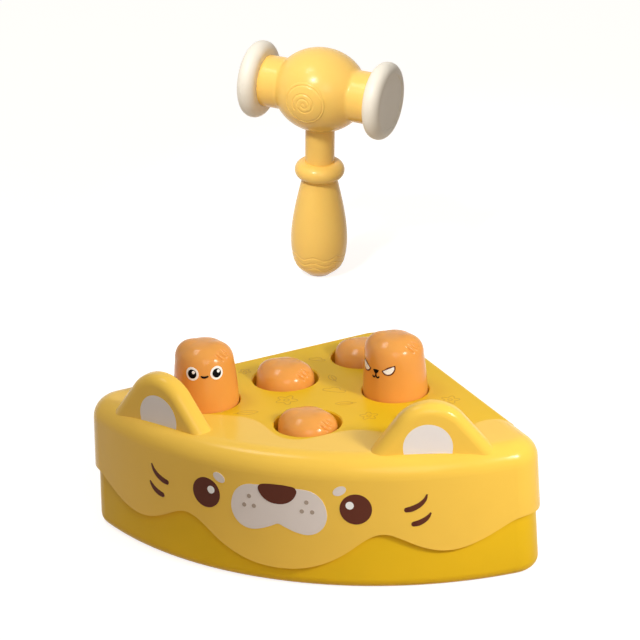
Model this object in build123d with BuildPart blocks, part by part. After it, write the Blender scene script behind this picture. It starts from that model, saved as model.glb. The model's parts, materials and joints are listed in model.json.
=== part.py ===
"""A wedge-shaped mole pounding game with six spring moles and a separate hammer.

The frame's origin is on the table, on the axis of the rear mole. +Z is up, and
-Y is the rounded front with the face. Everything in the base is laid out about
the wedge's tip, which is the centre of its front arc.
"""
import os
from math import asin, atan, cos, degrees, radians, sin, sqrt

from build123d import *

os.makedirs("parts", exist_ok=True)

# Base: overall form
front_reach = 167.7
half_angle = 43.84
corner_radius = 15.0
tip_radius = 15.0
deck_height = 63.3
draft_share = 0.0308
bottom_round = 5.0
deck_edge_round = 2.5
parting_height = 6.2
wall = 2.2
floor_thickness = 2.2
lip_height = 3.0
lip_thickness = 1.4
shell_clearance = 0.1

# Face cover: places along its edges are (share of the half angle, share of the reach or height)
cover_thickness = 2.1
cover_roll = 10.5
cover_gap = 0.1
drip_line_shares = (
    (0.0, 0.150), (0.103, 0.172), (0.194, 0.240), (0.262, 0.325), (0.32, 0.412),
    (0.379, 0.456), (0.47, 0.395), (0.559, 0.322), (0.627, 0.306), (0.717, 0.344),
    (0.81, 0.425), (0.885, 0.482), (0.96, 0.478), (1.02, 0.47),
)
side_drip_shares = (
    (0.92, 0.47), (0.895, 0.475), (0.868, 0.53), (0.842, 0.68), (0.824, 0.86), (0.80, 1.10),
)
inner_edge_shares = (
    (0.0, 0.884), (0.045, 0.878), (0.095, 0.856), (0.166, 0.82), (0.24, 0.798), (0.342, 0.802),
    (0.445, 0.829), (0.53, 0.854), (0.61, 0.862), (0.69, 0.850), (0.77, 0.818), (0.85, 0.794),
    (0.94, 0.806), (1.06, 0.84),
)

# Ears on the cover, with their pale pads and locating pins
ear_facing = 20.5
ear_plane_inset = 7.2
ear_offset = 12.3
ear_thickness = 9.8
ear_height = 22.9
ear_tip_radius = 19.5
ear_side_slope = 51.5
ear_rim_round = 5.0
ear_back_round = 2.5
ear_sink = 4.0
pad_offset = -1.7
pad_half_width = 11.1
pad_height = 13.9
pad_sink = 1.6
pad_depth = 1.2
ear_pin_radius = 1.6
ear_pin_spread = 12.0
ear_pin_clearance = 0.08

# Mole holes: places are (share of the front reach, share of the half angle)
hole_place_shares = (
    (0.7406, -0.609), (0.4878, -0.4562), (0.2457, 0.0), (0.7406, 0.0), (0.4878, 0.4562), (0.7406, 0.609),
)
hole_clearance = 0.5
hole_edge_break = 0.6
collar_wall = 1.8
collar_depth = 14.0

# Moles: outline places are (share of the radius, share of the height down from the top)
mole_radius = 15.5
mole_height = 37.5
mole_wall = 1.9
mole_crown_wall = 3.4
mole_outline_shares = (
    (0.395, 0.016), (0.61, 0.062), (0.80, 0.138), (0.905, 0.265), (0.955, 0.44), (1.0, 0.69),
)
mole_flank_lean_share = 0.05
mole_hollow_shares = ((0.60, 0.125), (0.72, 0.20), (0.79, 0.30), (0.87, 0.78))
mole_rises = (30.5, 9.0, 8.0, 6.2, 29.0, 6.2)
lobe_radius = 8.1
lobe_reach = 6.2
lobe_depth = 8.1
socket_wall = 1.5
socket_depth = 6.0
stem_radius = 3.5
stem_floor_gap = 1.2
stem_tip_break = 0.8
stem_clearance = 0.06

# Guide plate with six guide tubes, and the lift coils and springs on it
plate_depth = 35.3
plate_thickness = 2.5
plate_margin = 2.6
tube_wall = 1.84
tube_height = 17.5
coil_winding = 4.4
coil_flange_stand = 0.8
coil_flange = 1.2
coil_clearance = 0.3
spring_clearance = 1.0
spring_wire = 1.0
spring_play = 0.5

# Battery box, its door and the cells
cell_radius = 5.25
cell_length = 43.3
cell_nub_radius = 1.9
cell_nub_length = 1.2
cell_pitch = 10.9
cell_count = 3
cell_clearance = 0.3
contact_thickness = 0.5
contact_spring_height = 1.4
contact_spring_radius = 3.0
contact_spring_taper = 20.0
contact_height = 7.0
box_wall = 1.5
box_reach_share = 0.5307
door_thickness = 1.8
door_recess = 0.3
door_clearance = 0.3
door_ledge = 1.2
door_tab_width = 9.0
door_tab_length = 7.5
door_boss_height = 8.0

# Screws, bosses and posts: places are (share of the front reach, share of the half angle)
screw_radius = 1.25
screw_head_radius = 2.4
screw_head_height = 1.4
screw_clearance = 0.25
thread_clearance = 0.05
case_screw_length = 9.0
plate_screw_length = 7.0
door_screw_length = 5.5
screw_recess = 0.6
boss_radius = 3.5
boss_stub_radius = 4.2
boss_low = 5.0
boss_clearance = 0.5
tip_boss_inset = 6.8
case_boss_place_shares = ((0.5444, 0.7922), (0.9106, 0.8714), (0.9153, 0.0))
post_radius = 3.0
post_place_shares = ((0.3643, 0.4813), (0.8712, 0.2703))

# Circuit board, speaker and power switch
board_size = 22.0
board_thickness = 1.6
board_stand = 5.0
board_place_share = (0.8634, -0.7436)
board_post_spread = 7.0
board_post_radius = 2.0
chip_size = 8.0
chip_height = 1.6
speaker_radius = 13.0
speaker_rim_height = 2.0
speaker_cone_height = 4.0
speaker_magnet_radius = 7.0
speaker_height = 7.0
speaker_place_share = (0.8706, 0.7263)
speaker_ring_wall = 1.4
speaker_ring_clearance = 0.2
speaker_ring_height = 2.6
grille_hole_radius = 1.0
grille_ring_step = 3.6
grille_ring_counts = (1, 6, 12)
switch_place_share = (0.9004, -0.422)
switch_length = 14.0
switch_width = 7.0
switch_height = 6.0
knob_length = 4.0
knob_width = 3.0
knob_travel = 3.0
knob_recess = 0.7
knob_foot_length = 7.0
knob_foot_width = 4.4
knob_foot_height = 1.0
knob_clearance = 0.3

# Hammer, leaning a little on the end of its grip behind the base
hammer_x = -114.1
hammer_y = 254.4
hammer_lean_front = 3.2
hammer_lean_side = 3.9
hammer_turn = 5.1
head_height = 114.0
head_radius = 24.2
head_half_width = 27.2
head_half_length = 43.8
neck_radius = 14.8
neck_blend = 2.0
disc_radius = 22.2
disc_thickness = 10.6
disc_rim_round = 5.2
disc_recess_radius = 15.8
disc_recess_depth = 0.5
disc_seat_depth = 5.0
disc_clearance = 0.05
badge_radius = 12.2
badge_stand = 0.7
badge_depth = 1.5
shaft_radius = 8.4
shaft_seat_depth = 12.0
collar_ring_radius = 9.1
collar_ring_wire = 5.2
collar_ring_height = 65.0
collar_ring_flat = 0.5
grip_foot_radius = 7.0
grip_radius = 16.3
grip_neck_radius = 10.0
grip_widest_height = 21.5
grip_outline_shares = ((0.80, 0.25), (0.945, 0.55), (1.0, 1.0), (0.955, 1.5), (0.82, 2.1))

# Worked out from the sizes above
overrun = 5.0
tip_y = front_reach * hole_place_shares[2][0]
draft_angle = degrees(atan(draft_share))
corner_reach = front_reach - corner_radius
corner_turn = half_angle - degrees(asin(corner_radius / corner_reach))
side_length = sqrt(corner_reach ** 2 - corner_radius ** 2)
cover_top = deck_height + cover_thickness
ear_plane_reach = front_reach - ear_plane_inset
hole_radius = mole_radius + hole_clearance
plate_low = deck_height - plate_depth
plate_top = plate_low + plate_thickness
stem_length = deck_height + min(mole_rises) - mole_crown_wall - floor_thickness - stem_floor_gap
stem_bore = stem_radius + stem_clearance
tube_radius = stem_bore + tube_wall
spring_inner_radius = tube_radius + spring_clearance
spring_seat_radius = spring_inner_radius + spring_wire + spring_play
coil_bore = stem_radius + coil_clearance
coil_winding_radius = coil_bore + coil_winding
coil_flange_radius = coil_winding_radius + coil_flange_stand
tip_boss_reach = tip_radius / sin(radians(half_angle)) - tip_boss_inset
case_head_seat = screw_recess + screw_head_height
box_width = cell_count * cell_pitch
box_length = cell_length + cell_nub_length + contact_spring_height + 2 * contact_thickness
box_y = tip_y - front_reach * box_reach_share
box_floor = door_recess + door_thickness
cell_axis_height = box_floor + cell_clearance + cell_radius
box_roof = cell_axis_height + cell_radius + cell_clearance
door_tab_y = box_y + box_length / 2 + door_ledge + door_tab_length / 2
grip_top = collar_ring_height - collar_ring_wire + collar_ring_flat


def about_tip(reach, turn):
    """The plan point at a reach from the tip, turned from the middle line towards +X."""
    return (reach * sin(radians(turn)), tip_y - reach * cos(radians(turn)))


def placed(share):
    """The plan point at a share of the front reach and a share of the half angle."""
    return about_tip(front_reach * share[0], half_angle * share[1])


def mirrored(point):
    """The plan point's mirror image across the middle line."""
    return (-point.X, point.Y)


def both_sides(shares):
    """The plan points of placed shares and their mirror images, with the middle ones once."""
    points = []
    for reach, turn in shares:
        points.append(placed((reach, turn)))
        if turn:
            points.append(placed((reach, -turn)))
    return points


def at_height(points, height):
    return [(x, y, height) for x, y in points]


def up_from(height, rise):
    """The middle height of something that starts at a height and rises."""
    return height + rise / 2


def finish(part, label):
    part.label = label
    export_step(part, f"parts/{label}.step")


def wedge_face(stand):
    """The wedge's outline in plan, standing off the nominal one."""
    corner = Vector(*about_tip(corner_reach, corner_turn))
    tip = Vector(0, tip_y - tip_radius / sin(radians(half_angle)))
    side = Vector(cos(radians(half_angle)), sin(radians(half_angle)))
    bend_turn = radians((corner_turn + half_angle + 90) / 2)
    bend = Vector(sin(bend_turn), -cos(bend_turn))
    front_end = Vector(*about_tip(front_reach + stand, corner_turn))
    corner_middle = corner + bend * (corner_radius + stand)
    corner_end = corner + side * (corner_radius + stand)
    tip_start = tip + side * (tip_radius + stand)
    with BuildSketch() as outline:
        with BuildLine():
            ThreePointArc(mirrored(front_end), about_tip(front_reach + stand, 0), front_end)
            ThreePointArc(front_end, corner_middle, corner_end)
            Line(corner_end, tip_start)
            ThreePointArc(tip_start, (0, tip.Y + tip_radius + stand), mirrored(tip_start))
            Line(mirrored(tip_start), mirrored(corner_end))
            ThreePointArc(mirrored(corner_end), mirrored(corner_middle), mirrored(front_end))
        make_face()
    return outline.sketch


def wedge_form(stand, low, high, top_round=0):
    """A drafted wedge from low to high, with its top edge rounded if asked."""
    with BuildPart() as form:
        with BuildSketch(Plane.XY.offset(low)):
            add(wedge_face(stand - draft_share * low))
        extrude(amount=high - low, taper=draft_angle)
        if top_round:
            fillet(form.faces().sort_by(Axis.Z)[-1].edges(), radius=top_round)
    return form.part


def cover_region():
    """Everything in front of the cover's wavy inner edge, at any height."""
    points = [placed((reach, turn)) for turn, reach in inner_edge_shares]
    left = [(-x, y) for x, y in points[:0:-1]]
    far_x = front_reach
    far_y = tip_y - front_reach - corner_radius
    with BuildPart() as region:
        with BuildSketch():
            with BuildLine():
                edge = Spline(*(left + points))
                Polyline(edge @ 1, (far_x, (edge @ 1).Y), (far_x, far_y), (-far_x, far_y),
                         (-far_x, (edge @ 0).Y), edge @ 0)
            make_face()
        extrude(amount=cover_top + overrun)
    return region.part


def below_drips():
    """The space under the cover's wavy lower edge, round the front and both sides."""
    front = [(front_reach * sin(radians(half_angle * turn)), deck_height * height)
             for turn, height in drip_line_shares]
    left = [(-x, z) for x, z in front[:0:-1]]
    side = [(front_reach * reach, deck_height * height) for reach, height in side_drip_shares]
    side_plane = Plane(
        origin=(0, tip_y, 0),
        x_dir=(sin(radians(half_angle)), -cos(radians(half_angle)), 0),
        z_dir=(-cos(radians(half_angle)), -sin(radians(half_angle)), 0),
    )
    corner_end_y = about_tip(side_length, half_angle)[1]
    with BuildPart() as space:
        with BuildSketch(Plane.XZ.offset(-corner_end_y)):
            with BuildLine():
                edge = Spline(*(left + front))
                Polyline(edge @ 1, (front[-1][0], -overrun), (-front[-1][0], -overrun), edge @ 0)
            make_face()
        extrude(amount=front_reach)
        with BuildSketch(side_plane):
            with BuildLine():
                edge = Spline(*side)
                Polyline(edge @ 1, (tip_radius, side[-1][1]), (tip_radius, -overrun),
                         (side[0][0], -overrun), edge @ 0)
            make_face()
        extrude(amount=2 * cover_thickness, both=True)
        mirror(about=Plane.YZ)
    return space.part


# Face cover: a shell over the rounded front, cut to its wavy edges
over_cover = wedge_form(cover_thickness, 0, cover_top, cover_roll)
under_cover = wedge_form(cover_gap, 0, deck_height + cover_gap, cover_roll - cover_thickness + cover_gap)
front_region = cover_region()
ear_side = radians(ear_facing)
ear_plane = Plane(
    origin=(ear_plane_reach * sin(ear_side) + ear_offset * cos(ear_side),
            tip_y - ear_plane_reach * cos(ear_side) + ear_offset * sin(ear_side), cover_top),
    x_dir=(cos(ear_side), sin(ear_side), 0),
    z_dir=(sin(ear_side), -cos(ear_side), 0),
)
pin_plane = Plane(
    origin=ear_plane.origin - ear_plane.z_dir * (ear_thickness / 2) - Vector(0, 0, cover_thickness),
    x_dir=ear_plane.x_dir,
    z_dir=(0, 0, 1),
)

with BuildPart() as face_cover:
    add(over_cover)
    add(under_cover, mode=Mode.SUBTRACT)
    add(front_region, mode=Mode.INTERSECT)
    add(below_drips(), mode=Mode.SUBTRACT)
    with BuildSketch(pin_plane.offset(-overrun)):
        with GridLocations(2 * ear_pin_spread, 0, 2, 1):
            Circle(ear_pin_radius + ear_pin_clearance)
    pin_holes = extrude(amount=2 * overrun, mode=Mode.SUBTRACT)
    mirror(pin_holes, about=Plane.YZ, mode=Mode.SUBTRACT)
finish(face_cover.part, "face_cover")


# Ears: rounded half-moons with a flat front and a rim, each with a pad let into it
ear_slope = radians(ear_side_slope)
ear_touch_x = ear_tip_radius * sin(ear_slope)
ear_touch_z = ear_height - ear_tip_radius + ear_tip_radius * cos(ear_slope)
ear_foot_x = ear_touch_x + (ear_touch_z + ear_sink) * cos(ear_slope) / sin(ear_slope)


def depth_behind_ear_front(edge):
    return (ear_plane.origin - edge.center()).dot(ear_plane.z_dir)


def pad_face():
    with BuildSketch() as face:
        with BuildLine():
            inner_x = pad_offset - pad_half_width
            outer_x = pad_offset + pad_half_width
            ThreePointArc((outer_x, 0), (pad_offset, pad_height), (inner_x, 0))
            Polyline((inner_x, 0), (inner_x, -pad_sink), (outer_x, -pad_sink), (outer_x, 0))
        make_face()
    return face.sketch


with BuildPart() as right_ear:
    with BuildSketch(ear_plane):
        with BuildLine():
            ThreePointArc((ear_touch_x, ear_touch_z), (0, ear_height), (-ear_touch_x, ear_touch_z))
            Polyline((-ear_touch_x, ear_touch_z), (-ear_foot_x, -ear_sink), (ear_foot_x, -ear_sink),
                     (ear_touch_x, ear_touch_z))
        make_face()
    extrude(amount=-ear_thickness)
    above = right_ear.edges().filter_by(lambda edge: edge.center().Z > cover_top)
    fillet(above.filter_by(lambda edge: depth_behind_ear_front(edge) < ear_thickness / 4),
           radius=ear_rim_round)
    above = right_ear.edges().filter_by(lambda edge: edge.center().Z > cover_top)
    fillet(above.filter_by(lambda edge: depth_behind_ear_front(edge) > ear_thickness - ear_back_round / 2),
           radius=ear_back_round)
    add(over_cover, mode=Mode.SUBTRACT)
    with BuildSketch(ear_plane):
        add(pad_face())
    extrude(amount=-pad_depth, mode=Mode.SUBTRACT)
    with BuildSketch(pin_plane):
        with GridLocations(2 * ear_pin_spread, 0, 2, 1):
            Circle(ear_pin_radius)
    extrude(amount=cover_thickness + ear_sink)

with BuildPart() as right_ear_pad:
    with BuildSketch(ear_plane):
        add(pad_face())
    extrude(amount=-pad_depth)
    add(over_cover, mode=Mode.SUBTRACT)

for piece, name in ((right_ear, "ear"), (right_ear_pad, "ear_pad")):
    with BuildPart() as left_piece:
        mirror(piece.part, about=Plane.YZ)
    finish(piece.part, f"right_{name}")
    finish(left_piece.part, f"left_{name}")


# Main housing: deck and walls in one shell, rebated under the cover, with a collar round each hole
hole_points = [placed(share) for share in hole_place_shares]
case_boss_points = [about_tip(tip_boss_reach, 0), *both_sides(case_boss_place_shares)]
cavity_roll = cover_roll - cover_thickness + cover_gap - wall

with BuildPart() as cover_seat:
    add(front_region)
    add(under_cover, mode=Mode.SUBTRACT)

with BuildPart() as main_housing:
    add(wedge_form(0, parting_height, deck_height, deck_edge_round))
    add(cover_seat.part, mode=Mode.SUBTRACT)
    add(wedge_form(-wall, parting_height - overrun, deck_height - wall, cavity_roll), mode=Mode.SUBTRACT)
    with Locations(*at_height(hole_points, up_from(deck_height - collar_depth, collar_depth - wall / 2))):
        Cylinder(hole_radius + collar_wall, collar_depth - wall / 2)
    with Locations(*at_height(case_boss_points, up_from(boss_low, deck_height - wall / 2 - boss_low))):
        Cylinder(boss_radius, deck_height - wall / 2 - boss_low)
    with Locations(*at_height(hole_points, up_from(deck_height - collar_depth, collar_depth))):
        Cylinder(hole_radius, collar_depth + overrun, mode=Mode.SUBTRACT)
    with Locations(*at_height(case_boss_points, up_from(boss_low, case_screw_length))):
        Cylinder(screw_radius + thread_clearance, case_screw_length, mode=Mode.SUBTRACT)
    rims = main_housing.edges().filter_by(GeomType.CIRCLE).filter_by(
        lambda edge: abs(edge.radius - hole_radius) < hole_edge_break and edge.center().Z > deck_height - wall)
    chamfer(rims, hole_edge_break)
finish(main_housing.part, "main_housing")


# Bottom tray: floor and rounded lower edge, a lip into the housing, posts, battery box and sound holes
tray_inner_stand = -(wall + shell_clearance + lip_thickness)
post_points = both_sides(post_place_shares)
board_point = placed(board_place_share)
speaker_point = placed(speaker_place_share)
switch_point = placed(switch_place_share)

with BuildPart() as bottom_tray:
    add(wedge_form(0, 0, parting_height))
    fillet(bottom_tray.faces().sort_by(Axis.Z)[0].edges(), radius=bottom_round)
    add(wedge_form(-(wall + shell_clearance), parting_height - lip_height, parting_height + lip_height))
    add(wedge_form(tray_inner_stand, floor_thickness, parting_height + lip_height + overrun),
        mode=Mode.SUBTRACT)
    with Locations(*at_height(case_boss_points, up_from(0, boss_low))):
        Cylinder(boss_stub_radius, boss_low)
    with Locations(*at_height(post_points, up_from(floor_thickness / 2, plate_low - floor_thickness / 2))):
        Cylinder(post_radius, plate_low - floor_thickness / 2)
    with Locations((*board_point, up_from(floor_thickness / 2, board_stand + floor_thickness / 2))):
        with GridLocations(2 * board_post_spread, 0, 2, 1):
            Cylinder(board_post_radius, board_stand + floor_thickness / 2)
    with Locations((*speaker_point, up_from(floor_thickness / 2, speaker_ring_height + floor_thickness / 2))):
        Cylinder(speaker_radius + speaker_ring_clearance + speaker_ring_wall,
                 speaker_ring_height + floor_thickness / 2)
    with Locations((*speaker_point, up_from(floor_thickness, speaker_ring_height))):
        Cylinder(speaker_radius + speaker_ring_clearance, speaker_ring_height, mode=Mode.SUBTRACT)
    with Locations((0, box_y, up_from(floor_thickness / 2, box_roof + box_wall - floor_thickness / 2))):
        Box(box_width + 2 * box_wall, box_length + 2 * box_wall, box_roof + box_wall - floor_thickness / 2)
    with Locations((0, door_tab_y, up_from(floor_thickness / 2, door_boss_height - floor_thickness / 2))):
        Box(door_tab_width + 2 * box_wall, door_tab_length + 2 * box_wall,
            door_boss_height - floor_thickness / 2)
    with Locations((0, box_y, up_from(0, box_roof))):
        Box(box_width, box_length, box_roof, mode=Mode.SUBTRACT)
    with Locations((0, box_y, up_from(0, box_floor))):
        Box(box_width + 2 * door_ledge, box_length + 2 * door_ledge, box_floor, mode=Mode.SUBTRACT)
    with Locations((0, door_tab_y - overrun / 2, up_from(0, box_floor))):
        Box(door_tab_width, door_tab_length + overrun, box_floor, mode=Mode.SUBTRACT)
    with Locations((0, door_tab_y, up_from(box_floor, door_screw_length))):
        Cylinder(screw_radius + thread_clearance, door_screw_length, mode=Mode.SUBTRACT)
    with Locations(*at_height(case_boss_points, up_from(0, case_head_seat))):
        Cylinder(screw_head_radius + screw_clearance, case_head_seat, mode=Mode.SUBTRACT)
    with Locations(*at_height(case_boss_points, up_from(0, boss_low))):
        Cylinder(screw_radius + screw_clearance, boss_low, mode=Mode.SUBTRACT)
    with Locations(*at_height(post_points, plate_low)):
        Cylinder(screw_radius + thread_clearance, 2 * plate_screw_length, mode=Mode.SUBTRACT)
    with Locations((*speaker_point, up_from(0, floor_thickness))):
        for ring, count in enumerate(grille_ring_counts):
            with PolarLocations(ring * grille_ring_step, count):
                Cylinder(grille_hole_radius, floor_thickness + overrun, mode=Mode.SUBTRACT)
    with Locations((switch_point[0] + knob_travel / 2, switch_point[1], up_from(0, floor_thickness))):
        Box(knob_length + knob_travel + 2 * knob_clearance, knob_width + 2 * knob_clearance,
            floor_thickness + overrun, mode=Mode.SUBTRACT)
finish(bottom_tray.part, "bottom_tray")


# Battery door with its screw tab and two locating ribs, and its captive screw
with BuildPart() as battery_door:
    with Locations((0, box_y, up_from(door_recess, door_thickness))):
        Box(box_width + 2 * door_ledge - 2 * door_clearance, box_length + 2 * door_ledge - 2 * door_clearance,
            door_thickness)
    with Locations((0, door_tab_y - overrun / 2 - door_clearance, up_from(door_recess, door_thickness))):
        Box(door_tab_width - 2 * door_clearance, door_tab_length + overrun, door_thickness)
    with Locations((0, door_tab_y, up_from(0, door_recess + screw_head_height))):
        Cylinder(screw_head_radius + thread_clearance, door_recess + screw_head_height, mode=Mode.SUBTRACT)
    with Locations((0, door_tab_y, up_from(0, box_floor))):
        Cylinder(screw_radius + thread_clearance / 2, box_floor + overrun, mode=Mode.SUBTRACT)
finish(battery_door.part, "battery_door")


def screws(points, head_low, length):
    """Round-headed screws that point up from the height of their heads."""
    with BuildPart() as group:
        with Locations(*at_height(points, up_from(head_low, screw_head_height))):
            Cylinder(screw_head_radius, screw_head_height)
        with Locations(*at_height(points, up_from(head_low, screw_head_height + length))):
            Cylinder(screw_radius, screw_head_height + length)
    return group.part


finish(screws(case_boss_points, screw_recess, case_screw_length), "case_screws")
finish(screws([(0, door_tab_y)], door_recess, door_screw_length - thread_clearance), "battery_door_screw")


# Cells side by side, facing alternate ways, and the contact strips at both ends of the box
box_end = box_length / 2 - contact_thickness
cell_xs = [cell_pitch * (index - (cell_count - 1) / 2) for index in range(cell_count)]
nub_ways = [1 if index % 2 else -1 for index in range(cell_count)]

for index, (cell_x, way) in enumerate(zip(cell_xs, nub_ways), start=1):
    nub_end = box_y + way * box_end
    with BuildPart() as cell:
        with BuildSketch(Plane.XZ.offset(-nub_end)):
            with Locations((cell_x, cell_axis_height)):
                Circle(cell_nub_radius)
        extrude(amount=way * (cell_nub_length + overrun))
        with BuildSketch(Plane.XZ.offset(-(nub_end - way * cell_nub_length))):
            with Locations((cell_x, cell_axis_height)):
                Circle(cell_radius)
        extrude(amount=way * cell_length)
    finish(cell.part, f"battery_cell_{index}")

with BuildPart() as battery_contacts:
    for end in (-1, 1):
        with Locations((0, box_y + end * (box_end + contact_thickness / 2), up_from(box_floor + cell_clearance,
                                                                                    contact_height))):
            Box(box_width - 2 * cell_clearance, contact_thickness, contact_height)
        for cell_x, way in zip(cell_xs, nub_ways):
            if way != end:
                with BuildSketch(Plane.XZ.offset(-(box_y + end * box_end))):
                    with Locations((cell_x, cell_axis_height)):
                        Circle(contact_spring_radius)
                extrude(amount=end * contact_spring_height, taper=contact_spring_taper)
finish(battery_contacts.part, "battery_contacts")


# Guide plate with a tube for each stem, its screws, and a lift coil under each tube
with BuildPart() as guide_plate:
    with BuildSketch(Plane.XY.offset(plate_low)):
        add(wedge_face(-(wall + plate_margin)))
        with Locations(*case_boss_points):
            Circle(boss_radius + boss_clearance, mode=Mode.SUBTRACT)
    extrude(amount=plate_thickness)
    with Locations(*at_height(hole_points, up_from(plate_low, plate_thickness + tube_height))):
        Cylinder(tube_radius, plate_thickness + tube_height)
    with Locations(*at_height(hole_points, up_from(plate_low, plate_thickness + tube_height))):
        Cylinder(stem_bore, plate_thickness + tube_height, mode=Mode.SUBTRACT)
    with Locations(*at_height(post_points, up_from(plate_low, plate_thickness))):
        Cylinder(screw_radius + screw_clearance, plate_thickness, mode=Mode.SUBTRACT)
finish(guide_plate.part, "guide_plate")

with BuildPart() as guide_plate_screws:
    with Locations(*at_height(post_points, up_from(plate_top, screw_head_height))):
        Cylinder(screw_head_radius, screw_head_height)
    with Locations(*at_height(post_points, plate_top - up_from(0, plate_screw_length))):
        Cylinder(screw_radius, plate_screw_length)
finish(guide_plate_screws.part, "guide_plate_screws")


def upright(point):
    """The XZ plane through a plan point, for outlines turned about the upright axis there."""
    return Plane(origin=(*point, 0), x_dir=(1, 0, 0), z_dir=(0, -1, 0))


def turned(point, outline):
    """A closed outline of (radius, height) turned about the upright axis at a plan point."""
    with BuildPart() as body:
        with BuildSketch(upright(point)):
            with BuildLine():
                Polyline(*outline, close=True)
            make_face()
        revolve(axis=Axis((*point, 0), (0, 0, 1)))
    return body.part


coil_outline = (
    (coil_bore, floor_thickness), (coil_flange_radius, floor_thickness),
    (coil_flange_radius, floor_thickness + coil_flange),
    (coil_winding_radius, floor_thickness + coil_flange),
    (coil_winding_radius, plate_low - coil_flange), (coil_flange_radius, plate_low - coil_flange),
    (coil_flange_radius, plate_low), (coil_bore, plate_low),
)
for index, point in enumerate(hole_points, start=1):
    finish(turned(point, coil_outline), f"lift_coil_{index}")


# Moles: a thin-walled domed column with two ear lobes and a socket, a stem, and a spring below
for index, (point, rise) in enumerate(zip(hole_points, mole_rises), start=1):
    mole_top = deck_height + rise
    ceiling = mole_top - mole_crown_wall
    outer = [(mole_radius * radius, mole_top - mole_height * depth) for radius, depth in mole_outline_shares]
    inner = [(mole_radius * radius, mole_top - mole_height * depth) for radius, depth in mole_hollow_shares]
    foot = mole_top - mole_height
    with BuildPart() as mole:
        with BuildSketch(upright(point)):
            with BuildLine():
                crown = Spline((0, mole_top), *outer, tangents=((1, 0), (mole_flank_lean_share, -1)))
                Polyline(crown @ 1, (mole_radius, foot), (0, foot), (0, mole_top))
            make_face()
        revolve(axis=Axis((*point, 0), (0, 0, 1)))
        with Locations(*[(point[0] + side * lobe_reach, point[1], mole_top - lobe_depth) for side in (-1, 1)]):
            Sphere(lobe_radius)
        with BuildSketch(upright(point)):
            with BuildLine():
                Polyline((0, ceiling), (spring_seat_radius, ceiling), *inner, (mole_radius - mole_wall, foot),
                         (0, foot), (0, ceiling))
            make_face()
        revolve(axis=Axis((*point, 0), (0, 0, 1)), mode=Mode.SUBTRACT)
        with Locations((*point, up_from(ceiling - socket_depth, socket_depth + mole_crown_wall / 2))):
            Cylinder(stem_radius + socket_wall, socket_depth + mole_crown_wall / 2)
        with Locations((*point, up_from(ceiling - socket_depth, socket_depth))):
            Cylinder(stem_radius, socket_depth, mode=Mode.SUBTRACT)
    finish(mole.part, f"mole_{index}")

    with BuildPart() as stem:
        with Locations((*point, up_from(ceiling - stem_length, stem_length))):
            Cylinder(stem_radius, stem_length)
        chamfer(stem.faces().sort_by(Axis.Z)[0].edges(), stem_tip_break)
    finish(stem.part, f"mole_stem_{index}")

    with BuildPart() as spring:
        with Locations((*point, up_from(plate_top, ceiling - plate_top))):
            Cylinder(spring_inner_radius + spring_wire, ceiling - plate_top)
            Cylinder(spring_inner_radius, ceiling - plate_top, mode=Mode.SUBTRACT)
    finish(spring.part, f"mole_spring_{index}")


# Circuit board with its chip, on two posts
board_low = floor_thickness + board_stand
with BuildPart() as circuit_board:
    with Locations((*board_point, up_from(board_low, board_thickness))):
        Box(board_size, board_size, board_thickness)
    with Locations((*board_point, up_from(board_low + board_thickness, chip_height))):
        Box(chip_size, chip_size, chip_height)
finish(circuit_board.part, "circuit_board")


# Speaker, face down over the sound holes
speaker_outline = (
    (0, floor_thickness), (speaker_radius, floor_thickness),
    (speaker_radius, floor_thickness + speaker_rim_height),
    (speaker_magnet_radius, floor_thickness + speaker_cone_height),
    (speaker_magnet_radius, floor_thickness + speaker_height), (0, floor_thickness + speaker_height),
)
finish(turned(speaker_point, speaker_outline), "speaker")


# Power switch: a body that straddles the knob's foot, and the knob in its slot
channel_width = knob_foot_width + 2 * knob_clearance
with BuildPart() as power_switch:
    with Locations((switch_point[0] + knob_travel / 2, switch_point[1], up_from(floor_thickness, switch_height))):
        Box(switch_length, switch_width, switch_height)
    with Locations((switch_point[0] + knob_travel / 2, switch_point[1],
                    up_from(floor_thickness, knob_foot_height + knob_clearance))):
        Box(knob_foot_length + knob_travel + 2 * knob_clearance, channel_width,
            knob_foot_height + knob_clearance, mode=Mode.SUBTRACT)
finish(power_switch.part, "power_switch")

with BuildPart() as power_switch_knob:
    with Locations((*switch_point, up_from(knob_recess, floor_thickness - knob_recess))):
        Box(knob_length, knob_width, floor_thickness - knob_recess)
    with Locations((*switch_point, up_from(floor_thickness, knob_foot_height))):
        Box(knob_foot_length, knob_foot_width, knob_foot_height)
finish(power_switch_knob.part, "power_switch_knob")


# Hammer: an egg-shaped head between two necks, with a soft disc on each, leaning on the edge of its foot
lean_cosine = cos(radians(hammer_lean_front)) * cos(radians(hammer_lean_side))
foot_lift = grip_foot_radius * sqrt(1 - lean_cosine ** 2)
hammer_plane = Plane(Location((hammer_x, hammer_y, foot_lift),
                              (hammer_lean_front, hammer_lean_side, -hammer_turn)))
handle_section = Plane(origin=hammer_plane.origin, x_dir=hammer_plane.x_dir, z_dir=-hammer_plane.y_dir)
handle_axis = Axis(hammer_plane.origin, hammer_plane.z_dir)
head_centre = hammer_plane.origin + hammer_plane.z_dir * head_height
head_section = Plane(origin=head_centre, x_dir=hammer_plane.x_dir, z_dir=-hammer_plane.y_dir)
head_axis = Axis(head_centre, hammer_plane.x_dir)
neck_half_length = head_half_length - disc_thickness + disc_seat_depth
socket_low = head_height - head_radius - overrun
shaft_top = head_height - head_radius + shaft_seat_depth


def head_form(stand):
    """The head's egg-shaped middle, standing off the nominal one."""
    with BuildPart() as form:
        with BuildSketch(head_section):
            Ellipse(head_half_width + stand, head_radius + stand)
            Rectangle(2 * head_half_length, head_radius + overrun, align=(Align.CENTER, Align.MAX),
                      mode=Mode.SUBTRACT)
        revolve(axis=head_axis)
    return form.part


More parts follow.
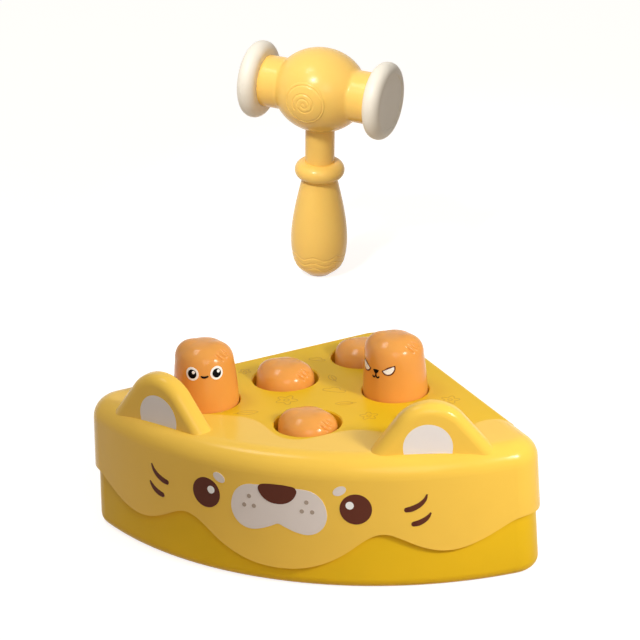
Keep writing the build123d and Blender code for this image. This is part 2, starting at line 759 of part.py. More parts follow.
with BuildPart() as badge_well:
    with BuildSketch(head_section.offset(neck_radius)):
        Circle(badge_radius)
    extrude(amount=head_radius)
    add(head_form(-badge_depth), mode=Mode.SUBTRACT)

with BuildPart() as hammer_head:
    with BuildSketch(head_section) as head_outline:
        Ellipse(head_half_width, head_radius)
        Rectangle(2 * neck_half_length, 2 * neck_radius)
        fillet(head_outline.vertices().filter_by(lambda corner: abs(corner.X) < head_half_width), neck_blend)
        Rectangle(2 * head_half_length, head_radius + overrun, align=(Align.CENTER, Align.MAX),
                  mode=Mode.SUBTRACT)
    revolve(axis=head_axis)
    with BuildSketch(hammer_plane.offset(socket_low)):
        Circle(shaft_radius)
    extrude(amount=shaft_top - socket_low, mode=Mode.SUBTRACT)
    add(badge_well.part, mode=Mode.SUBTRACT)
finish(hammer_head.part, "hammer_head")

with BuildPart() as hammer_badge:
    add(badge_well.part)
    add(head_form(badge_stand), mode=Mode.INTERSECT)
finish(hammer_badge.part, "hammer_badge")

with BuildPart() as right_disc:
    with BuildSketch(head_section) as disc_outline:
        with Locations((head_half_length - disc_thickness, 0)):
            Rectangle(disc_thickness, disc_radius, align=(Align.MIN, Align.MIN))
        fillet(disc_outline.vertices().group_by(Axis.Y)[-1], disc_rim_round)
        with Locations((head_half_length - disc_thickness, 0)):
            Rectangle(disc_seat_depth, neck_radius + disc_clearance, align=(Align.MIN, Align.MIN),
                      mode=Mode.SUBTRACT)
        with Locations((head_half_length, 0)):
            Rectangle(disc_recess_depth, disc_recess_radius, align=(Align.MAX, Align.MIN), mode=Mode.SUBTRACT)
    revolve(axis=head_axis)
with BuildPart() as left_disc:
    mirror(right_disc.part, about=Plane(origin=head_centre, z_dir=hammer_plane.x_dir))
finish(right_disc.part, "hammer_disc_right")
finish(left_disc.part, "hammer_disc_left")

grip_points = [(grip_radius * radius, grip_widest_height * height) for radius, height in grip_outline_shares]
with BuildPart() as hammer_handle:
    with BuildSketch(handle_section):
        with BuildLine():
            grip = Spline((grip_foot_radius, 0), *grip_points, (grip_neck_radius, grip_top))
            Polyline(grip @ 1, (shaft_radius, grip_top), (shaft_radius, shaft_top), (0, shaft_top), (0, 0),
                     grip @ 0)
        make_face()
    revolve(axis=handle_axis)
finish(hammer_handle.part, "hammer_handle")

with BuildPart() as hammer_collar:
    with BuildSketch(handle_section):
        with Locations((collar_ring_radius, collar_ring_height)):
            Circle(collar_ring_wire)
        with Locations((0, collar_ring_height)):
            Rectangle(2 * shaft_radius, 3 * collar_ring_wire, mode=Mode.SUBTRACT)
        with Locations((collar_ring_radius, grip_top)):
            Rectangle(3 * collar_ring_wire, collar_ring_wire, align=(Align.CENTER, Align.MAX),
                      mode=Mode.SUBTRACT)
    revolve(axis=handle_axis)
finish(hammer_collar.part, "hammer_collar")
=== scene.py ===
"""The looks of a wedge-shaped mole pounding game and its hammer: plastics, prints and fine moulded detail."""

import json
from math import atan2, cos, degrees, exp, pi, radians, sin, sqrt

import bmesh
import bpy
from mathutils import Matrix, Vector


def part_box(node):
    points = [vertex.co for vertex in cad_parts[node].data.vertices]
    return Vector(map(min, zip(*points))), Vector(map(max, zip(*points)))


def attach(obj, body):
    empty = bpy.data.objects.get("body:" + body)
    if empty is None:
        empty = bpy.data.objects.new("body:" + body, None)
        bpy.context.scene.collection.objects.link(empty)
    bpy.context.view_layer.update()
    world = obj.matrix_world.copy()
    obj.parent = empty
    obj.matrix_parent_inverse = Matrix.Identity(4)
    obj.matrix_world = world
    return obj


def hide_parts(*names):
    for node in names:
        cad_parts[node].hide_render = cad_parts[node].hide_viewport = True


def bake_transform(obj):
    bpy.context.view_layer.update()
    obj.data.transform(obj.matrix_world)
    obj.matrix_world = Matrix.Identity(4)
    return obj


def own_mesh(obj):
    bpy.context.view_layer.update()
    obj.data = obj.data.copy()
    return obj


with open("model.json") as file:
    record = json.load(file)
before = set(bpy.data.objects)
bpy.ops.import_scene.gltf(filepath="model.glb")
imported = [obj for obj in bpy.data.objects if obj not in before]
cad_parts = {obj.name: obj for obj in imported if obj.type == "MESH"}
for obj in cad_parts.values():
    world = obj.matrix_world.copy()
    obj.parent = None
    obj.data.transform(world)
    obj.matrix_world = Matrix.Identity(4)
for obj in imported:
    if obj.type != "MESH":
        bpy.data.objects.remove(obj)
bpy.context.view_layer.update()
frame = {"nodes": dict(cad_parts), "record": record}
mm = 0.001

# Camera, fitted to the photograph
camera_place = Vector((458.74, -1320.0, 652.11)) * mm
camera_right = Vector((0.94412, 0.32744, -0.03775))
camera_up = Vector((-0.09063, 0.36801, 0.92539))
camera_ahead = Vector((-0.31691, 0.87026, -0.37712))
camera_lens = 173.39
camera_sensor = 36.0
camera_nearest = 0.05
camera_farthest = 20.0

# Base sizes that the prints follow
tip_y = 41.2 * mm
cover_reach = 169.8 * mm
draft_share = 0.0308
deck_height = 63.3 * mm
print_lift = 0.12 * mm
print_sink = 0.25 * mm

# Mole sizes
mole_numbers = range(1, 7)
mole_radius = 15.5 * mm
mole_height = 37.5 * mm
mole_wall = 1.9 * mm
mole_crown_wall = 3.4 * mm
mole_outline_shares = (
    (0.395, 0.016), (0.61, 0.062), (0.80, 0.138), (0.905, 0.265), (0.955, 0.44), (1.0, 0.69), (1.0, 1.0),
)
mole_outline_steps = 14
mole_steps = 360
mole_hollow_shares = ((0.87, 0.78), (0.79, 0.30), (0.72, 0.20), (0.60, 0.125))
lobe_radius = 8.1 * mm
lobe_reach = 6.2 * mm
lobe_depth = 8.1 * mm
lobe_blend = 1.2 * mm
crown_centre_depth = 14.0 * mm
crease_places = ((57.0, 5.0 * mm), (66.0, 4.1 * mm), (76.0, 3.5 * mm))
crease_half_length = 1.6 * mm
crease_width_turn = 3.1
crease_lean_turn = 5.5
crease_depth = 0.7 * mm

# Hammer, leaning by a few degrees on the edge of its foot
hammer_x = -114.1 * mm
hammer_y = 254.4 * mm
hammer_lean_front = 3.2
hammer_lean_side = 3.9
hammer_turn = 5.1
head_height = 114.0 * mm
head_radius = 24.2 * mm
head_half_width = 27.2 * mm
head_half_length = 43.8 * mm
neck_radius = 14.8 * mm
neck_half_length = 38.2 * mm
neck_blend = 1.3 * mm
head_rows = 120
head_steps = 192
disc_radius = 22.2 * mm
disc_thickness = 10.6 * mm
disc_rim_round = 5.2 * mm
disc_recess_radius = 15.8 * mm
disc_recess_depth = 0.5 * mm
disc_rim_steps = 14
disc_recess_steps = 6
disc_steps = 160
badge_radius = 12.2 * mm
badge_stand = 0.45 * mm
badge_edge = 0.7 * mm
badge_back_share = 0.9
badge_groove_depth = 0.3 * mm
badge_groove_half_width = 0.42 * mm
badge_ring_radius = 10.8 * mm
badge_spiral_pitch = 2.7 * mm
badge_spiral_turns = 2.6
badge_shift = (0.3 * mm, -0.2 * mm)
badge_rings = 90
badge_steps = 288
shaft_radius = 8.4 * mm
shaft_top = 93.0 * mm
ring_radius = 9.1 * mm
ring_wire = 5.2 * mm
ring_height = 65.0 * mm
ring_turn = 101.0
ring_rows = 36
ring_steps = 160
grip_radius = 16.3 * mm
grip_foot_radius = 7.0 * mm
grip_neck_radius = 10.0 * mm
grip_widest_height = 21.5 * mm
grip_top = 60.3 * mm
grip_outline_shares = ((0.80, 0.25), (0.945, 0.55), (1.0, 1.0), (0.955, 1.5), (0.82, 2.1))
grip_outline_steps = 40
grip_steps = 256
wave_heights = (7.5 * mm, 11.0 * mm, 14.5 * mm)
wave_swing = 1.1 * mm
wave_count = 7
wave_depth = 0.3 * mm
wave_width = 0.4 * mm


# Colours

def linear(red, green, blue):
    """A colour written as 0 to 255 in sRGB, as the shader's linear values."""
    values = []
    for value in (red, green, blue):
        share = value / 255
        values.append(share / 12.92 if share <= 0.04045 else ((share + 0.055) / 1.055) ** 2.4)
    return (*values, 1.0)


housing_yellow = linear(240, 193, 32)
cover_yellow = linear(252, 204, 80)
mole_orange = linear(237, 162, 75)
hammer_yellow = linear(252, 205, 104)
cream = linear(242, 234, 217)
pad_grey = linear(243, 235, 230)
muzzle_grey = linear(236, 225, 217)
print_brown = linear(98, 50, 36)
dot_brown = linear(180, 162, 146)
print_black = linear(8, 6, 8)
print_white = linear(255, 254, 250)
doodle_brown = linear(219, 171, 46)
steel_grey = linear(176, 178, 182)
copper_brown = linear(178, 104, 58)
board_green = linear(34, 96, 62)
dark_grey = linear(46, 46, 50)
inner_white = linear(226, 222, 212)


# Materials: each has its own nodes for colour, roughness and fine relief
noise_low = 0.3
noise_high = 0.7
mottle_detail = 3.0
smear_detail = 4.0
smear_scale_share = 3.1
grain_detail = 2.0
grain_scale = 2200.0
relief_strength = 0.35
scatter_reach = 3.0 * mm


def node_maker(material):
    """The node tree of a material or world, and a function that adds a node to it."""
    tree = material.node_tree

    def make(kind, **inputs):
        node = tree.nodes.new(kind)
        for name, value in inputs.items():
            setattr(node, name, value)
        return node

    return tree, make


def surface(name, colour, roughness, roughness_swing=0.06, mottle=0.03, mottle_scale=45.0,
            grain_height=0.004, metallic=0.0, specular=0.5, stretch=(1.0, 1.0, 1.0), subsurface=0.0):
    """A moulded or drawn surface: soft mottling of the colour, uneven gloss and a fine grain in relief."""
    material = bpy.data.materials.new(name)
    material.use_nodes = True
    tree, make = node_maker(material)
    shader = tree.nodes["Principled BSDF"]
    shader.inputs["Metallic"].default_value = metallic
    shader.inputs["Specular IOR Level"].default_value = specular
    shader.inputs["Subsurface Weight"].default_value = subsurface
    shader.inputs["Subsurface Scale"].default_value = scatter_reach

    place = make("ShaderNodeTexCoord")
    scale = make("ShaderNodeMapping")
    scale.inputs["Scale"].default_value = stretch
    tree.links.new(place.outputs["Object"], scale.inputs["Vector"])

    cloud = make("ShaderNodeTexNoise")
    cloud.inputs["Scale"].default_value = mottle_scale
    cloud.inputs["Detail"].default_value = mottle_detail
    tree.links.new(scale.outputs["Vector"], cloud.inputs["Vector"])
    tones = make("ShaderNodeValToRGB")
    darker = [value * (1 - mottle) for value in colour[:3]]
    lighter = [min(1.0, value * (1 + mottle)) for value in colour[:3]]
    tones.color_ramp.elements[0].position = noise_low
    tones.color_ramp.elements[1].position = noise_high
    tones.color_ramp.elements[0].color = (*darker, 1.0)
    tones.color_ramp.elements[1].color = (*lighter, 1.0)
    tree.links.new(cloud.outputs["Fac"], tones.inputs["Fac"])
    tree.links.new(tones.outputs["Color"], shader.inputs["Base Color"])

    smear = make("ShaderNodeTexNoise")
    smear.inputs["Scale"].default_value = mottle_scale * smear_scale_share
    smear.inputs["Detail"].default_value = smear_detail
    tree.links.new(scale.outputs["Vector"], smear.inputs["Vector"])
    gloss = make("ShaderNodeMapRange")
    gloss.inputs["From Min"].default_value = noise_low
    gloss.inputs["From Max"].default_value = noise_high
    gloss.inputs["To Min"].default_value = roughness - roughness_swing
    gloss.inputs["To Max"].default_value = roughness + roughness_swing
    tree.links.new(smear.outputs["Fac"], gloss.inputs["Value"])
    tree.links.new(gloss.outputs["Result"], shader.inputs["Roughness"])

    grain = make("ShaderNodeTexNoise")
    grain.inputs["Scale"].default_value = grain_scale
    grain.inputs["Detail"].default_value = grain_detail
    tree.links.new(scale.outputs["Vector"], grain.inputs["Vector"])
    relief = make("ShaderNodeBump")
    relief.inputs["Strength"].default_value = relief_strength
    relief.inputs["Distance"].default_value = grain_height * mm
    tree.links.new(grain.outputs["Fac"], relief.inputs["Height"])
    tree.links.new(relief.outputs["Normal"], shader.inputs["Normal"])
    return material


finishes = {
    "housing_plastic": dict(colour=housing_yellow, roughness=0.34, roughness_swing=0.02, mottle=0.015,
                            specular=0.11, grain_height=0.003),
    "tray_plastic": dict(colour=housing_yellow, roughness=0.38, roughness_swing=0.03, mottle=0.015,
                         specular=0.11),
    "cover_plastic": dict(colour=cover_yellow, roughness=0.2, roughness_swing=0.015, mottle=0.012,
                          specular=0.18, grain_height=0.0015),
    "pad_plastic": dict(colour=pad_grey, roughness=0.5, mottle=0.015, specular=0.2),
    "mole_plastic": dict(colour=mole_orange, roughness=0.19, roughness_swing=0.015, mottle=0.015,
                         specular=0.23, subsurface=0.03, grain_height=0.001),
    "hammer_plastic": dict(colour=hammer_yellow, roughness=0.25, roughness_swing=0.015, mottle=0.012,
                           specular=0.26, subsurface=0.03, grain_height=0.0015),
    "disc_rubber": dict(colour=cream, roughness=0.42, mottle=0.02, specular=0.3, grain_height=0.008),
    "inner_plastic": dict(colour=inner_white, roughness=0.55),
    "steel": dict(colour=steel_grey, roughness=0.32, metallic=1.0, stretch=(1.0, 1.0, 0.05),
                  grain_height=0.01),
    "spring_steel": dict(colour=steel_grey, roughness=0.4, metallic=1.0, stretch=(0.2, 0.2, 6.0)),
    "copper_winding": dict(colour=copper_brown, roughness=0.35, metallic=0.7, stretch=(0.1, 0.1, 5.0),
                           grain_height=0.05),
    "board": dict(colour=board_green, roughness=0.4, mottle=0.12, mottle_scale=300.0),
    "cell_sleeve": dict(colour=dark_grey, roughness=0.3, mottle=0.1),
    "dark_plastic": dict(colour=dark_grey, roughness=0.5, mottle=0.08),
    "print_brown": dict(colour=print_brown, roughness=0.35, mottle=0.05, specular=0.1),
    "print_black": dict(colour=print_black, roughness=0.35, mottle=0.05, specular=0.08),
    "print_white": dict(colour=print_white, roughness=0.35, mottle=0.01, specular=0.2),
    "print_grey": dict(colour=muzzle_grey, roughness=0.42, mottle=0.015, specular=0.16),
    "print_dots": dict(colour=dot_brown, roughness=0.42, mottle=0.03, specular=0.12),
    "print_doodle": dict(colour=doodle_brown, roughness=0.42, mottle=0.05, specular=0.12),
}
materials = {name: surface(name, **finish) for name, finish in finishes.items()}


def dress_cad_nodes():
    """Gives each CAD node the material of its own slot."""
    for entry in frame["record"]["subparts"]:
        node = frame["nodes"][entry["node"]]
        node.data.materials.clear()
        node.data.materials.append(materials[entry["material_slot"]])


# Mesh helpers: angle in degrees, radius in metres
sharp_edge_angle = 35.0
pole_radius = 1e-7


def catmull_rom(points, steps, closed=False):
    """A smooth curve through the points, as a list of points with steps in each stretch."""
    points = [Vector(point) for point in points]
    count = len(points)
    stretches = count if closed else count - 1
    curve = []
    for index in range(stretches):
        if closed:
            before, start, end, after = (points[(index + shift) % count] for shift in (-1, 0, 1, 2))
        else:
            start, end = points[index], points[index + 1]
            before = points[index - 1] if index else 2 * start - end
            after = points[index + 2] if index + 2 < count else 2 * end - start
        for step in range(steps):
            t = step / steps
            curve.append(0.5 * (2 * start + (end - before) * t
                                + (2 * before - 5 * start + 4 * end - after) * t ** 2
                                + (3 * start - before - 3 * end + after) * t ** 3))
    if not closed:
        curve.append(points[-1])
    return curve


def arc(centre, radius, start, end, steps):
    """Points (x, y) on an arc, between two angles in degrees."""
    angles = [radians(start + (end - start) * step / steps) for step in range(steps + 1)]
    return [(centre[0] + radius * cos(angle), centre[1] + radius * sin(angle)) for angle in angles]


def new_piece(name, verts, faces, slot, body=None):
    """A closed mesh piece with its faces outwards and its material, riding on a body if one is named."""
    mesh = bpy.data.meshes.new(name)
    mesh.from_pydata([tuple(vert) for vert in verts], [], faces)
    mesh.validate()
    shape = bmesh.new()
    shape.from_mesh(mesh)
    if shape.calc_volume(signed=True) < 0:
        mesh.flip_normals()
    shape.free()
    mesh.materials.append(materials[slot])
    mesh.shade_smooth()
    mesh.set_sharp_from_angle(angle=radians(sharp_edge_angle))
    piece = bpy.data.objects.new(name, mesh)
    bpy.context.scene.collection.objects.link(piece)
    if body:
        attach(piece, body)
    return piece


def rings_mesh(rows):
    """Verts and faces of a closed skin over rows of points; a row of one point is a pole."""
    verts = []
    starts = []
    for row in rows:
        starts.append(len(verts))
        verts.extend(row)
    faces = []
    for index in range(len(rows) - 1):
        low, high = rows[index], rows[index + 1]
        low_start, high_start = starts[index], starts[index + 1]
        count = max(len(low), len(high))
        for step in range(count):
            after = (step + 1) % count
            if len(low) == 1:
                faces.append((low_start, high_start + after, high_start + step))
            elif len(high) == 1:
                faces.append((low_start + step, low_start + after, high_start))
            else:
                faces.append((low_start + step, low_start + after, high_start + after, high_start + step))
    return verts, faces


def lathe_rows(profile, steps, place):
    """Rows of points for a turned shape. place(radius, along, angle) gives a point; radius 0 makes a pole."""
    rows = []
    for radius, along in profile:
        if radius < pole_radius:
            rows.append([place(0, along, 0)])
        else:
            rows.append([place(radius, along, 2 * pi * step / steps) for step in range(steps)])
    return rows


def printed(name, verts, faces, ink, body):
    """A print in one of the inks, which also names its material."""
    piece = new_piece(name, verts, faces, ink, body)


def print_plate(name, outline, place, ink, body, rings=8, lift=print_lift):
    """A print with a star-shaped outline of (across, up) points, put in place by place(across, up, lift)."""
    middle = sum((Vector(point) for point in outline), Vector((0, 0))) / len(outline)
    rows = []
    for depth, order in ((lift, range(rings + 1)), (-print_sink, range(rings, -1, -1))):
        for ring in order:
            share = ring / rings
            if ring:
                rows.append([place(*(middle + (Vector(point) - middle) * share), depth) for point in outline])
            else:
                rows.append([place(*middle, depth)])
    verts, faces = rings_mesh(rows)
    printed(name, verts, faces, ink, body)


def ellipse(centre, half_width, half_height, tilt=0.0, steps=48):
    """The outline of an ellipse, tilted in degrees from the level towards up."""
    turn = Matrix.Rotation(radians(tilt), 2)
    points = []
    for step in range(steps):
        angle = 2 * pi * step / steps
        points.append(Vector(centre) + turn @ Vector((half_width * cos(angle), half_height * sin(angle))))
    return points


def stroke(name, path, widths, place, ink, body, steps=10, lift=print_lift, closed=False):
    """A printed line along a smooth path of (across, up) points, with a width at each of them."""
    centre = catmull_rom(path, steps, closed)
    spread = catmull_rom([(width, 0) for width in widths], steps, closed)
    count = len(centre)
    rows = []
    for index, point in enumerate(centre):
        if closed:
            way = centre[(index + 1) % count] - centre[index - 1]
        else:
            way = centre[min(index + 1, count - 1)] - centre[max(index - 1, 0)]
        side = Vector((-way[1], way[0])).normalized() * (spread[index][0] / 2)
        rows.append([place(*(point + side), lift), place(*(point - side), lift),
                     place(*(point - side), -print_sink), place(*(point + side), -print_sink)])
    if closed:
        rows.append(rows[0])
    verts, faces = rings_mesh(rows)
    if not closed:
        first_cap = (3, 2, 1, 0)
        last = len(verts) - 4
        faces += [first_cap, (last, last + 1, last + 2, last + 3)]
    printed(name, verts, faces, ink, body)


def on_cover(across, up, lift):
    """A point on the cover's round front, from the arc length off the middle line and the height."""
    reach = cover_reach - draft_share * up
    turn = across / reach
    return Vector(((reach + lift) * sin(turn), tip_y - (reach + lift) * cos(turn), up))


def on_deck(across, along, lift):
    """A point on the deck, from its place across and along."""
    return Vector((across, along, deck_height + lift))


def sized(points, side=1):
    """Points typed in millimetres as metres, on the right or mirrored to the left."""
    return [(side * across * mm, up * mm) for across, up in points]


# Face on the cover: places and sizes in millimetres, tilt in degrees
eye_centre = (36.85, 41.5)
eye_radius = 7.45
eye_spark_centre = (34.1, 43.4)
eye_spark_radius = 1.9
brow_centre = (29.5, 50.4)
brow_half_width = 3.3
brow_half_height = 2.1
brow_tilt = 28.0
nose_outline = ((0, 51.4), (4, 51.3), (8.2, 50.6), (9.4, 48.4), (7.6, 44.9), (4.2, 42.5), (0, 41.8))
muzzle_outline = (
    (0, 50.2), (9, 50.2), (16.2, 49.3), (21.2, 45.4), (23.4, 39.0), (22.5, 33.4), (19.0, 29.2),
    (14.0, 27.6), (8.5, 28.5), (3.4, 30.5), (0, 31.9),
)
freckle_centres = ((14.0, 43.9), (11.7, 39.3), (16.6, 39.2))
freckle_radius = 1.05
upper_whisker = ((60.1, 40.9), (62.6, 41.4), (65.9, 43.0), (68.4, 45.4), (69.6, 48.1))
lower_whisker = ((63.3, 33.7), (65.6, 34.2), (68.2, 35.5), (70.0, 37.1), (71.2, 38.9))
whisker_widths = (2.4, 2.7, 2.4, 1.7, 0.7)
face_outline_steps = 6
small_dot_steps = 24


def both_halves(points):
    """A closed outline from the right half's points, from the top to the bottom of the middle line."""
    left = [(-across, up) for across, up in points[-2:0:-1]]
    return list(points) + left


def make_face():
    """The printed face: muzzle, nose, eyes, brows, freckles and whiskers."""
    muzzle = catmull_rom(sized(both_halves(muzzle_outline)), face_outline_steps, closed=True)
    print_plate("muzzle_print", muzzle, on_cover, "print_grey", "base", rings=12)
    nose = catmull_rom(sized(both_halves(nose_outline)), face_outline_steps, closed=True)
    print_plate("nose_print", nose, on_cover, "print_brown", "base", lift=2 * print_lift)
    for side, word in ((1, "right"), (-1, "left")):
        eye = ellipse(sized([eye_centre], side)[0], eye_radius * mm, eye_radius * mm)
        print_plate(f"{word}_eye_print", eye, on_cover, "print_brown", "base")
        spark = ellipse(sized([eye_spark_centre], side)[0], eye_spark_radius * mm, eye_spark_radius * mm)
        print_plate(f"{word}_eye_spark_print", spark, on_cover, "print_white", "base", rings=3,
                    lift=2 * print_lift)
        brow = ellipse(sized([brow_centre], side)[0], brow_half_width * mm, brow_half_height * mm,
                       side * brow_tilt)
        print_plate(f"{word}_brow_print", brow, on_cover, "print_grey", "base", rings=4)
        for index, centre in enumerate(freckle_centres, start=1):
            dot = ellipse(sized([centre], side)[0], freckle_radius * mm, freckle_radius * mm,
                          steps=small_dot_steps)
            print_plate(f"{word}_freckle_print_{index}", dot, on_cover, "print_dots", "base", rings=2,
                        lift=2 * print_lift)
        widths = [width * mm for width in whisker_widths]
        whiskers = ((upper_whisker, "upper"), (lower_whisker, "lower"))
        for path, level in whiskers:
            name = f"{word}_{level}_whisker_print"
            stroke(name, sized(path, side), widths, on_cover, "print_brown", "base")
        for path, level in whiskers:
            cap = ellipse(sized([path[0]], side)[0], widths[0] / 2, widths[0] / 2, steps=small_dot_steps)
            print_plate(f"{word}_{level}_whisker_end_print", cap, on_cover, "print_brown", "base", rings=2)


# Moles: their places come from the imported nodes
mole_centres = {}
mole_tops = {}
for number in mole_numbers:
    low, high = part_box(f"mole_{number}")
    mole_centres[number] = (low + high) / 2
    mole_tops[number] = high.z


def mole_profile():
    """The mole's outline as (radius, depth below the top), dense over the crown."""
    points = [(0, 0)] + [(mole_radius * radius, mole_height * depth) for radius, depth in mole_outline_shares]
    mirror_start = (-points[1][0], points[1][1])
    curve = catmull_rom([mirror_start] + points, mole_outline_steps)
    return [tuple(point) for point in curve[mole_outline_steps:]]


def crown_out(point):
    """Pushes a crown point (x, y, depth) out to the two soft lobes, blended into the dome."""
    core = Vector((0, 0, crown_centre_depth))
    ray = point - core
    reach = ray.length
    way = ray / reach
    best = reach
    for side in (-1, 1):
        lobe = Vector((side * lobe_reach, 0, lobe_depth)) - core
        along = way.dot(lobe)
        inside = lobe_radius ** 2 - (lobe.length_squared - along ** 2)
        if inside > 0 and along > 0:
            far = along + sqrt(inside)
            gap = best - far
            best = max(best, far) + max(lobe_blend - abs(gap), 0) ** 2 / (4 * lobe_blend)
    return core + way * best


def crease(point):
    """How deep the short creases on the right lobe are at a crown point (x, y, depth)."""
    turn = degrees(atan2(point.x, -point.y))
    total = 0.0
    for middle_turn, middle_depth in crease_places:
        along = (point.z - middle_depth) / crease_half_length
        off = (turn - middle_turn - crease_lean_turn * along) / crease_width_turn
        total += crease_depth * exp(-along ** 4 - off ** 2)
    return total


def make_mole(number):
    """A thin-walled mole: a column with a domed crown, two soft lobes and a few creases."""
    centre, top = mole_centres[number], mole_tops[number]

    def outer(radius, depth, angle):
        x, y = radius * sin(angle), -radius * cos(angle)
        if depth < crown_centre_depth:
            point = crown_out(Vector((x, y, depth)))
            point -= (point - Vector((0, 0, crown_centre_depth))).normalized() * crease(point)
            x, y, depth = point
        return Vector((centre.x + x, centre.y + y, top - depth))

    def inner(radius, depth, angle):
        return Vector((centre.x + radius * sin(angle), centre.y - radius * cos(angle), top - depth))

    hollow = [(mole_radius - mole_wall, mole_height)]
    hollow += [(mole_radius * radius, mole_height * depth) for radius, depth in mole_hollow_shares]
    hollow += [(mole_radius / 2, mole_crown_wall), (0, mole_crown_wall)]
    rows = lathe_rows(mole_profile(), mole_steps, outer) + lathe_rows(hollow, mole_steps, inner)
    verts, faces = rings_mesh(rows)
    piece = new_piece(f"mole_{number}_shell", verts, faces, "mole_plastic", f"mole_{number}")
    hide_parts(f"mole_{number}")


def on_mole(number, facing):
    """A placing on a mole's round side: across is the arc length off its facing line, up is the height."""
    centre, top = mole_centres[number], mole_tops[number]
    profile = mole_profile()

    def place(across, up, lift):
        depth = top - up
        for (near_radius, near), (far_radius, far) in zip(profile, profile[1:]):
            if near <= depth <= far:
                radius = near_radius + (far_radius - near_radius) * (depth - near) / (far - near)
                break
        angle = radians(facing) + across / radius
        reach = radius + lift
        return Vector((centre.x + reach * sin(angle), centre.y - reach * cos(angle), up))

    return place


# Return springs
spring_wire_radius = 0.5 * mm
spring_turns = 14
spring_turn_steps = 24
spring_wire_sides = 8
spring_end_gap = 0.1 * mm
joint_ranges = {joint["name"]: joint["range_m"] for joint in frame["record"]["behaviour"]["joints"]}


def make_spring(number):
    """The coil round a guide tube, from the guide plate to the crown."""
    node = f"mole_spring_{number}"
    low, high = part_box(node)
    seat = Vector(((low.x + high.x) / 2, (low.y + high.y) / 2, low.z))
    length = high.z - low.z
    reach = (high.x - low.x) / 2 - spring_wire_radius
    end = spring_end_gap + spring_wire_radius
    count = spring_turns * spring_turn_steps
    rows = []
    for index in range(count + 1):
        angle = 2 * pi * index / spring_turn_steps
        away = Vector((cos(angle), sin(angle), 0))
        middle = seat + away * reach
        middle.z += end + (length - 2 * end) * index / count
        ring = []
        for side in range(spring_wire_sides):
            turn = 2 * pi * side / spring_wire_sides
            ring.append(middle + (away * cos(turn) + Vector((0, 0, sin(turn)))) * spring_wire_radius)
        if index == 0:
            rows.append([middle])
        rows.append(ring)
    rows.append([middle])
    verts, faces = rings_mesh(rows)
    lowest = joint_ranges[f"mole_{number}_travel"][0]
    if lowest < 0:
        piece = new_piece(f"{node}_coil", verts, faces, "spring_steel", "base")
        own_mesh(piece)
    else:
        piece = new_piece(f"{node}_coil", verts, faces, "spring_steel")
        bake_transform(piece)
    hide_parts(node)


# Mole faces: sizes in millimetres, heights below the mole's top, turns in degrees
round_face_turn = 21.0
round_eye_across = 5.95
round_eye_depth = 11.2
round_eye_radius = 3.2
round_pupil_radius = 2.15
round_spark_radius = 0.75
round_spark_shift = (0.75, 0.9)
round_mouth_outline = (
    (-1.85, -12.25), (-1.55, -11.95), (-0.8, -12.1), (0, -12.2), (0.8, -12.1), (1.55, -11.95), (1.85, -12.25),
    (1.35, -12.9), (0, -13.3), (-1.35, -12.9),
)
mole_print_steps = 5
cross_face_turn = -19.0
cross_eye_outline = (
    (4.0, -13.6), (4.9, -13.1), (8.6, -11.4), (9.1, -11.6), (9.1, -12.8), (8.2, -14.2), (6.8, -15.0),
    (5.1, -14.8),
)
cross_rim_width = 0.75
cross_nose_outline = ((-1.6, -13.6), (0, -13.3), (1.6, -13.6), (0.85, -14.9), (0, -15.4), (-0.85, -14.9))
cross_mouth_path = (
    (-1.9, -16.5), (-1.45, -17.2), (-0.7, -17.2), (0, -16.4), (0.7, -17.2), (1.45, -17.2), (1.9, -16.5),
)
cross_lip_path = ((0, -15.2), (0, -15.8), (0, -16.4))
cross_line_width = 0.72


def make_round_face():
    """Two round eyes and a small mouth on the raised left-hand mole."""
    place = on_mole(1, round_face_turn)
    top = mole_tops[1]
    body = "mole_1"
    for side, word in ((-1, "left"), (1, "right")):
        middle = Vector((side * round_eye_across * mm, top - round_eye_depth * mm))
        eye = ellipse(middle, round_eye_radius * mm, round_eye_radius * mm)
        print_plate(f"mole_1_{word}_eye_print", eye, place, "print_white", body)
        pupil = ellipse(middle, round_pupil_radius * mm, round_pupil_radius * mm)
        print_plate(f"mole_1_{word}_pupil_print", pupil, place, "print_black", body, lift=2 * print_lift)
        spark_centre = middle + Vector(round_spark_shift) * mm
        spark = ellipse(spark_centre, round_spark_radius * mm, round_spark_radius * mm)
        print_plate(f"mole_1_{word}_spark_print", spark, place, "print_white", body, rings=2,
                    lift=3 * print_lift)
    outline = [(across * mm, top + up * mm) for across, up in round_mouth_outline]
    mouth = catmull_rom(outline, mole_print_steps, closed=True)
    print_plate("mole_1_mouth_print", mouth, place, "print_black", body, rings=3)


def make_cross_face():
    """Two slanting half-moon eyes, a nose and a small wavy mouth on the raised right-hand mole."""
    place = on_mole(5, cross_face_turn)
    top = mole_tops[5]
    body = "mole_5"

    def lifted(points, side=1):
        return [(side * across * mm, top + up * mm) for across, up in points]

    for side, word in ((-1, "left"), (1, "right")):
        white = catmull_rom(lifted(cross_eye_outline, side), mole_print_steps, closed=True)
        middle = sum(white, Vector((0, 0))) / len(white)
        rim = [point + (point - middle).normalized() * (cross_rim_width * mm) for point in white]
        print_plate(f"mole_5_{word}_eye_rim_print", rim, place, "print_brown", body)
        print_plate(f"mole_5_{word}_eye_print", white, place, "print_white", body, lift=2 * print_lift)
    nose = catmull_rom(lifted(cross_nose_outline), mole_print_steps, closed=True)
    print_plate("mole_5_nose_print", nose, place, "print_black", body, rings=3)
    widths = [cross_line_width * mm] * len(cross_mouth_path)
    stroke("mole_5_mouth_print", lifted(cross_mouth_path), widths, place, "print_black", body)
    lip_widths = widths[:len(cross_lip_path)]
    stroke("mole_5_lip_print", lifted(cross_lip_path), lip_widths, place, "print_black", body)


